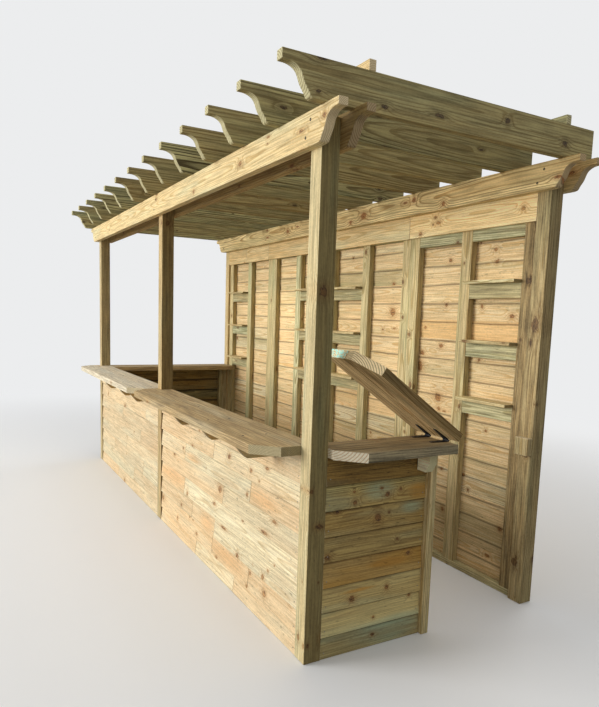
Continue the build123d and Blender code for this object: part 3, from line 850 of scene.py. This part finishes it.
def corbels():
    """Corbels under the front worktops. At height v the nose lies a length short of the reach, which goes
    in straight lines between the rows (height, length) of CORBEL_NOSE."""
    nodes = [f"worktop_corbel_{index}" for index in range(1, 7)]
    stock = Stock()
    for node in nodes:
        low, high = span(node)
        length, thick = high[1] - low[1] + BUTT, high[0] - low[0]
        section = rectangle(0.0, CORBEL_HEIGHT, 0.0, thick, 0.0015, CORBEL_NOSE[1:3, 0])
        stock.timber(np.array([high[0], high[1] + BUTT, high[2] - CORBEL_HEIGHT]), -Y, Z, section, length,
                     tone(), ends=lambda v: (0.0 * v, length - np.interp(v, *CORBEL_NOSE.T)))
    stock.piece("worktop_corbels", SHELTER, "corbel_timber", timber_finish("corbel_wood", CORBEL), *nodes)


def flap():
    """Bar flap of two planks from its hinge axis to its free end, raised; one end is sealed with paint."""
    low, high = span("bar_flap")
    out = np.cross(FLAP_ALONG, X)
    rise = high[2] - HINGE[2] - out[2] * (FLAP_THICK + FLAP_EDGE)
    length = rise / FLAP_ALONG[2] - FLAP_EDGE
    width = high[0] - low[0]
    origin = np.array([low[0], *HINGE[1:]]) + FLAP_ALONG * FLAP_EDGE + out * FLAP_EDGE
    # the outer plank: dark paints shade on its +X edge and its end at the hinge
    kinds = [dict(tone=(2.4, 0.1, 0.1), sealed=1.0), dict(tone=(2.8, 0.1, 0.0), dark=0.9 * (X - FLAP_ALONG))]
    planks("flap_planks", "bar_flap", FLAP_BODY, timber_finish("flap_wood", FLAP), origin, FLAP_ALONG, X,
           width, FLAP_THICK, length, lambda v: (0.0 * v, length - corner_cut(v, width)), [width - CHAMFER],
           kinds, FLAP_SEAM)


# Screws, nails and hinges

HEAD = np.array([(0.0070, -0.0005), (0.0069, 0.0004), (0.0060, 0.0008), (0.0024, 0.0008), (0.0018, -0.0006),
                 (0.0, -0.0006)])
NAIL = np.array([(0.0030, -0.0005), (0.0029, 0.0006), (0.0018, 0.0009), (0.0, 0.0010)])
SIDES = 10
NAIL_ABOVE = 0.030       # above the lower edge of its board
NAIL_SUNK = 0.0022       # behind the face of the node that the boards stand for


def heads(name, body, profile, finish, spots):
    """Round heads: the profile (radius, height) turned about each spot's outward direction."""
    angle = np.arange(SIDES) * 2 * math.pi / SIDES
    radius, height = profile[:, 0], profile[:, 1]
    points, quads = [], []
    ring = np.arange(len(profile) * SIDES).reshape(len(profile), SIDES)
    ahead = np.roll(ring, -1, axis=1)
    faces = np.stack([ring[:-1], ahead[:-1], ahead[1:], ring[1:]], axis=-1).reshape(-1, 4)
    for number, (place, outward) in enumerate(spots):
        side = np.cross(outward, [0.3, 0.5, 0.8])
        side = side / np.linalg.norm(side)
        other = np.cross(outward, side)
        flat = np.cos(angle)[:, None] * side + np.sin(angle)[:, None] * other
        grid = place + radius[:, None, None] * flat + height[:, None, None] * np.asarray(outward)
        points.append(grid.reshape(-1, 3))
        quads.append(faces + number * ring.size)
    mesh = grid_mesh(name, np.concatenate(points), np.concatenate(quads))
    piece = place_piece(name, mesh, body, "hinge_steel", finish)
    piece.modifiers.new("weld", "WELD").merge_threshold = 0.00001


def within(node, axis, share=0.5):
    """A place along an axis, a share of the way through a node."""
    low, high = span(node)
    return low[axis] + share * (high[axis] - low[axis])


def nail_rows(node, outward, first, cover, places):
    """Nails above each lap of a boarded node, at places from the low end of its length."""
    low, high = span(node)
    along = abs(np.cross(outward, Z))
    face = np.where(outward > 0, high, low) * abs(outward) - NAIL_SUNK * outward
    return [(face + (low @ along + place) * along + (line + NAIL_ABOVE) * Z, outward)
            for line in course_lines(first, cover, high[2]) for place in places]


def fixings():
    """Screws in the beams, worktops and battens, nails in the boards, and screws in the hinge leaves."""
    zinc = steel_finish("zinc", paint(120, 118, 108), paint(176, 172, 158), 0.3)
    bronze = steel_finish("bronze", paint(26, 22, 18), paint(54, 46, 36), 0.5)
    black = steel_finish("black_steel", paint(20, 20, 22), paint(44, 43, 44), 0.35)
    screws = []
    for node, outward, posts in (("front_beam_outer", -Y, ("left", "middle", "right")),
                                 ("rear_beam_inner", -Y, ("left", "right")),
                                 ("rear_beam_outer", Y, ("left", "right"))):
        face = span(node)[int(outward[1] > 0)][1]
        for post in posts:
            x = within(f"{node.split('_')[0]}_post_{post}", 0)
            for share, aside in ((0.28, -0.02), (0.74, 0.018)):
                screws.append(((x + aside, face, within(node, 2, share)), outward))
    top, front, rear = "front_worktop_left", "roof_batten_front", "roof_batten_rear"
    for pattern, count, crossed in (("worktop_corbel_{}", 6, ((top, 0.2), (top, 0.62))),
                                    ("rafter_{:02d}", 13, ((front, 0.5), (rear, 0.5)))):
        for index in range(1, count + 1):
            x = within(pattern.format(index), 0)
            screws += [((x, within(node, 1, share), span(node)[1][2]), Z) for node, share in crossed]
    heads("screws", SHELTER, HEAD, bronze, screws)

    nails = []
    for node, outward, inset, count in (("front_cladding_left", -Y, 0.025, 3),
                                        ("front_cladding_right", -Y, 0.025, 3),
                                        ("side_cladding_right", X, 0.022, 2),
                                        ("side_cladding_left", -X, 0.022, 4)):
        low, high = span(node)
        length = (high - low) @ abs(np.cross(outward, Z))
        nails += nail_rows(node, outward, FIRST_LINE, COVER, np.linspace(inset, length - inset, count))
    low, high = span("wall_boards")
    bay = (high[0] - low[0]) / PANELS
    nails += nail_rows("wall_boards", Y, WALL_FIRST_LINE, WALL_COVER, [
        panel * bay + place for panel in range(PANELS) for place in (STUD / 2, bay / 2, bay - STUD / 2)])
    heads("nails", SHELTER, NAIL, zinc, nails)

    for kind, body, along, outward in (("fixed", SHELTER, -Y, Z),
                                       ("moving", FLAP_BODY, FLAP_ALONG, np.cross(X, FLAP_ALONG))):
        spots = []
        for index in (1, 2):
            node = f"hinge_leaf_{kind}_{index}"
            leaf = frame["nodes"][node]
            leaf.data.materials.clear()
            leaf.data.materials.append(black)
            ease_arrises(leaf, 0.0005)
            centre = np.array([within(node, 0), *HINGE[1:]])
            for distance in (0.028, 0.056, 0.084):
                spots.append((centre + along * distance - outward * (FLAP_EDGE - LEAF_THICK), outward))
        heads(f"hinge_screws_{kind}", body, HEAD, black, spots)


# Stage, light and camera

BACKDROP = paint(236, 237, 238)


def stage():
    """Plain pale floor that turns into the backdrop far out, and soft light from the front left with a
    weaker fill from the right. Only the camera sees the floor and the backdrop at full paleness."""
    size = 60.0
    corners = np.array([(-1, -1, 0), (1, -1, 0), (1, 1, 0), (-1, 1, 0)]) * size
    mesh = grid_mesh("floor", corners - 0.001 * Z, np.array([[0, 1, 2, 3]]))
    material = bpy.data.materials.new("floor")
    graph = Graph(material)
    viewed = graph.node("LightPath", {}, {}, "Is Camera Ray")
    spot = graph.node("TexCoord", {}, {}, "Object")
    away = graph.vectors("LENGTH", spot, out="Value")
    colour = graph.mix(viewed, paint(160, 159, 156), paint(240, 240, 239))
    near = graph.node("BsdfPrincipled", {}, {"Base Color": colour, "Roughness": 0.9})
    far = graph.node("Emission", {}, {"Color": BACKDROP, "Strength": 1.0})
    mixed = graph.node("MixShader", {}, {0: viewed * away.step(2.8, 8.0), 1: near, 2: far})
    graph.node("OutputMaterial", {}, {"Surface": mixed})
    mesh.materials.append(material)
    placed("floor", mesh)

    world = bpy.data.worlds.new("studio")
    bpy.context.scene.world = world
    graph = Graph(world)
    path = graph.node("LightPath", {}, {})
    seen = path.of("Is Camera Ray") + path.of("Is Glossy Ray") + path.of("Is Transmission Ray")
    lit = graph.node("Background", {}, {"Color": (1.0, 1.0, 1.0, 1.0), "Strength": 0.29})
    back = graph.node("Background", {}, {"Color": BACKDROP, "Strength": 1.0})
    graph.node("OutputWorld", {}, {"Surface": graph.node("MixShader", {}, {0: seen, 1: lit, 2: back})})

    for name, place, aim, size, power in (
        ("key", (-3.5, -12.0, 3.5), (0.0, 0.0, 1.3), 6.0, 1440.0),
        ("fill", (9.0, -3.0, 4.5), (0.5, 0.0, 1.2), 6.0, 125.0),
        ("top", (0.0, -0.5, 7.0), (0.0, 0.0, 1.0), 7.0, 150.0),
        ("rear", (-2.5, 11.0, 4.5), (0.0, 0.0, 1.2), 6.0, 420.0),
    ):
        light = bpy.data.lights.new(name, "AREA")
        light.size = size
        light.energy = power
        way = Vector(aim) - Vector(place)
        turn = way.to_track_quat("-Z", "Y").to_matrix().to_4x4()
        placed(name, light).matrix_world = Matrix.Translation(place) @ turn


def camera():
    """Camera at the photograph's viewing angle."""
    data = bpy.data.cameras.new("camera")
    data.sensor_width = 36.0
    data.lens = 31.34
    data.shift_x = 0.0061
    data.shift_y = 0.0539
    eye = placed("camera", data)
    heading, pitch, roll = (math.radians(angle) for angle in (60.826, -6.956, 1.847))
    eye.matrix_world = (Matrix.Translation((4.5777, -2.0654, 1.6173)) @ Matrix.Rotation(heading, 4, "Z")
                        @ Matrix.Rotation(math.pi / 2 + pitch, 4, "X") @ Matrix.Rotation(roll, 4, "Z"))
    bpy.context.scene.camera = eye


bpy.context.scene.view_settings.view_transform = "Standard"
frame_timbers()
front_boards()
side_boards()
wall_boards()
frieze()
frames()
worktops()
corbels()
flap()
fixings()
stage()
camera()
